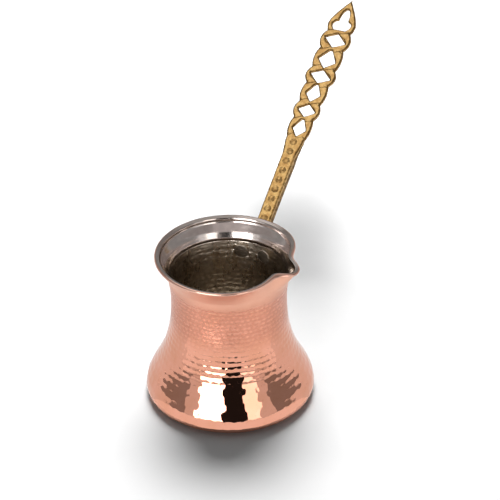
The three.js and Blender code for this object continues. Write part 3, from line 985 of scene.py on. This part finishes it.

# %% [markdown]
# ## Cast brass with patina and painted shade
# The raised strands are rubbed bright by hands, and the seams and dimples stay brown with
# patina. The edges and the sides are painted brown as well, which is painted shade. The
# numbers stored with the mesh decide which colour shows, roughened with a little noise so
# that the edge of the wear is ragged. Sand casting leaves a fine grain.

# %% Mix the brass
def brass_finish():
    material, tree, shader = start_metal("cast_brass")
    # Patina in the seams and dimples, and painted shade on the edges and sides.
    patina_and_shade = add(tree, "Attribute", attribute_name="patina_and_shade").outputs["Fac"]
    ragged = remap(tree, grain(tree, 1.6, detail=6), 0.3, 0.7, -0.25, 0.25)
    share = remap(tree, combine(tree, "ADD", patina_and_shade, ragged), 0.12, 1.0, 0, 1)
    drift = remap(tree, grain(tree, 2.6, detail=6, roughness=0.65), 0.36, 0.64, 0, 1)
    bright = blend_colours(tree, drift, (0.83, 0.54, 0.21), (0.60, 0.335, 0.115))
    specks = remap(tree, grain(tree, 1.0, detail=5, roughness=0.6), 0.54, 0.68, 0, 0.70)
    bright = blend_colours(tree, specks, bright, (0.42, 0.235, 0.075))
    colour = blend_colours(tree, share, bright, (0.17, 0.095, 0.032))
    tree.links.new(colour, shader.inputs["Base Color"])
    tree.links.new(remap(tree, share, 0, 1, 0.30, 0.60), shader.inputs["Roughness"])
    bump(tree, shader, grain(tree, 0.9, detail=5), 0.14)
    return material


brass_handle.data.materials.append(brass_finish())

# %% [markdown]
# ## The table
# The pot stands on a wide white table that runs out of sight on all sides.

# %% Lay the table
TABLE_REACH = 3.0


def sheet(name, points, across):
    """A thin sheet from rows of points, with the same number across in each row."""
    rows = len(points) // across
    faces = [(i + across * j, i + 1 + across * j, i + 1 + across * (j + 1), i + across * (j + 1))
             for j in range(rows - 1) for i in range(across - 1)]
    mesh = bpy.data.meshes.new(name)
    mesh.from_pydata(points, [], faces)
    return put(name, mesh)


def table():
    steps = np.linspace(-TABLE_REACH, TABLE_REACH, 25)
    floor = sheet("table", [(x, y, 0) for y in steps for x in steps], len(steps))
    material = bpy.data.materials.new("table_white")
    material.use_nodes = True
    tree = material.node_tree
    shader = tree.nodes["Principled BSDF"]
    speck = remap(tree, grain(tree, 40, detail=2), 0.3, 0.7, 0, 1)
    colour = blend_colours(tree, speck, (0.83, 0.83, 0.83), (0.85, 0.85, 0.85))
    tree.links.new(colour, shader.inputs["Base Color"])
    shader.inputs["Roughness"].default_value = 0.9
    shader.inputs["Specular IOR Level"].default_value = 0.1
    floor.data.materials.append(material)
    return floor


table()
print("table:", 2 * TABLE_REACH, "metres wide")

# %% [markdown]
# ## What the metal sees
# Polished metal has no look of its own: it shows the room. So the room is built as cards
# round the pot: two bright white panels in front with a dark gap between them, dim walls
# round the rest, and a ceiling that is brighter where the handle and the flare mirror it.
# Cards are placed by direction from the pot, measured from the viewer's side, positive to
# the right. They are seen only in reflections. Light that has already bounced off the table
# doesn't see them either, or they would wash out the shadows.

# %% Hang the cards
CARD_DISTANCE = 1.6


def direction(azimuth, elevation):
    a, e = math.radians(azimuth), math.radians(elevation)
    level = right_of_view * math.sin(a) - away_from_view * math.cos(a)
    return level * math.cos(e) + straight_up * math.sin(e)


def glowing_card(name, points, across, brightness, tint):
    """A sheet that glows, seen in reflections only."""
    piece = sheet(name, points, across)
    material = bpy.data.materials.new(name)
    material.use_nodes = True
    tree = material.node_tree
    tree.nodes.clear()
    glow = add(tree, "Emission")
    glow.inputs["Color"].default_value = (*tint, 1)
    path = add(tree, "LightPath")
    direct = combine(tree, "LESS_THAN", path.outputs["Diffuse Depth"], 0.5)
    tree.links.new(combine(tree, "MULTIPLY", direct, brightness), glow.inputs["Strength"])
    output = add(tree, "OutputMaterial")
    tree.links.new(glow.outputs["Emission"], output.inputs["Surface"])
    piece.data.materials.append(material)
    piece.visible_camera = piece.visible_diffuse = piece.visible_shadow = False
    piece.visible_transmission = False


def card(name, left, right, low, high, brightness, tint=(1, 1, 1), distance=CARD_DISTANCE):
    """A curved card between two azimuths and two elevations."""
    turns, rises = np.linspace(left, right, 13), np.linspace(low, high, 9)
    points = [direction(turn, rise) * distance for rise in rises for turn in turns]
    glowing_card(name, points, len(turns), brightness, tint)


card("white_panel_left", -45, -10, 1, 29, 5.5)
card("white_panel_right", 20, 40, 1, 29, 2.2, tint=(1, 0.97, 0.94))
card("dark_gap", -11, 21, 0.5, 30, 0.015, distance=1.7)
card("dark_foot", -9, 18, -6, 8, 0.015, distance=0.45)
card("dim_wall_left", -118, -62, 0.5, 29, 0.30)
card("dim_wall_right", 57, 118, 0.5, 29, 0.28)
card("dim_wall_behind", 118, 242, 0.5, 29, 0.38)
card("dim_ceiling", -180, 180, 29, 50, 0.30, tint=(1, 0.93, 0.92))
card("pale_ceiling", -45, 30, 29, 50, 0.48, tint=(1, 0.93, 0.92), distance=1.5)
card("upper_ceiling", -180, 180, 50, 89, 0.58)
card("bright_ceiling", -165, -30, 47, 84, 1.08, distance=1.5)
print("cards hang", CARD_DISTANCE, "metres from the pot")

# %% [markdown]
# ## Sheets on the table
# The neck leans out over the table and mirrors it, shadow and all. To keep the copper bright
# there, pale sheets lie round the foot, a little above the table. They are arcs between two
# distances from the pot's axis, and like the cards they are seen only in reflections.

# %% Lay the sheets
SHEET_HEIGHT = 0.0008


def table_card(name, left, right, near, far, brightness):
    turns, reaches = np.linspace(left, right, 13), np.linspace(near, far, 9)
    lift = straight_up * SHEET_HEIGHT
    points = [direction(turn, 0) * reach + lift for reach in reaches for turn in turns]
    glowing_card(name, points, len(turns), brightness, (1, 1, 1))


table_card("sheet_in_front", -75, 75, 0.057, 0.26, 1.05)
table_card("sheet_right", 75, 180, 0.052, 0.60, 0.86)
table_card("sheet_left", -180, -75, 0.052, 0.60, 0.86)

# %% [markdown]
# ## The light and the flag
# One large soft light above and behind gives the pot its shadow, which falls towards the
# viewer. A flag, a small dark cloth as on a studio stand, hangs above the table behind the
# pot, and puts a second soft shadow there. Only its shadow is seen.

# %% Hang the light and the flag
def soft_light(name, azimuth, elevation, distance, size, floor_light):
    """An area light aimed at the pot; floor_light is what it alone adds to the table."""
    data = bpy.data.lights.new(name, "AREA")
    data.shape, data.size = "DISK", size
    towards = direction(azimuth, elevation)
    falling = size ** 2 / 4 / distance ** 2 * math.sin(math.radians(elevation)) * 0.84
    data.energy = floor_light / falling * math.pi ** 2 * size ** 2 / 4
    lamp = bpy.data.objects.new(name, data)
    bpy.context.scene.collection.objects.link(lamp)
    lamp.location = towards * distance + Vector((0, 0, 0.03))
    lamp.rotation_mode = "QUATERNION"
    lamp.rotation_quaternion = towards.to_track_quat("Z", "Y")
    lamp.visible_glossy = False
    return lamp


soft_light("key_behind", 180, 62, 1.4, 0.82, 1.10)


def flag(name, right, away, height, wide, deep):
    """A dark cloth between the light and the table. It only casts its shadow."""
    middle = right_of_view * right + away_from_view * away + straight_up * height
    steps = np.linspace(-0.5, 0.5, 9)
    points = [middle + right_of_view * wide * x + away_from_view * deep * y for y in steps for x in steps]
    piece = sheet(name, points, len(steps))
    piece.visible_camera = piece.visible_diffuse = piece.visible_glossy = False


flag("flag_behind", 0.036, 0.195, 0.115, 0.040, 0.120)

# %% [markdown]
# ## The air of the room
# The world gives light from every side. It looks bright to the camera and in the metal, but
# the part of it that falls on the table and bounces on is kept low, so that shadows stay deep.

# %% Fill the room with air
def fill_room(seen, falling):
    """A white world, with one strength where it is looked at and another after a bounce."""
    world = bpy.data.worlds.new("room")
    bpy.context.scene.world = world
    world.use_nodes = True
    tree = world.node_tree
    tree.nodes.clear()
    path, choose, out = (add(tree, kind) for kind in ("LightPath", "MixShader", "OutputWorld"))
    tree.links.new(path.outputs["Diffuse Depth"], choose.inputs["Fac"])
    for socket, strength in zip(choose.inputs[1:], (seen, falling)):
        air = add(tree, "Background", Color=(1, 1, 1, 1), Strength=strength)
        tree.links.new(air.outputs["Background"], socket)
    tree.links.new(choose.outputs["Shader"], out.inputs["Surface"])


fill_room(seen=0.76, falling=0.20)
bpy.context.scene.view_settings.view_transform = "Standard"
print("world:", bpy.context.scene.world.name)
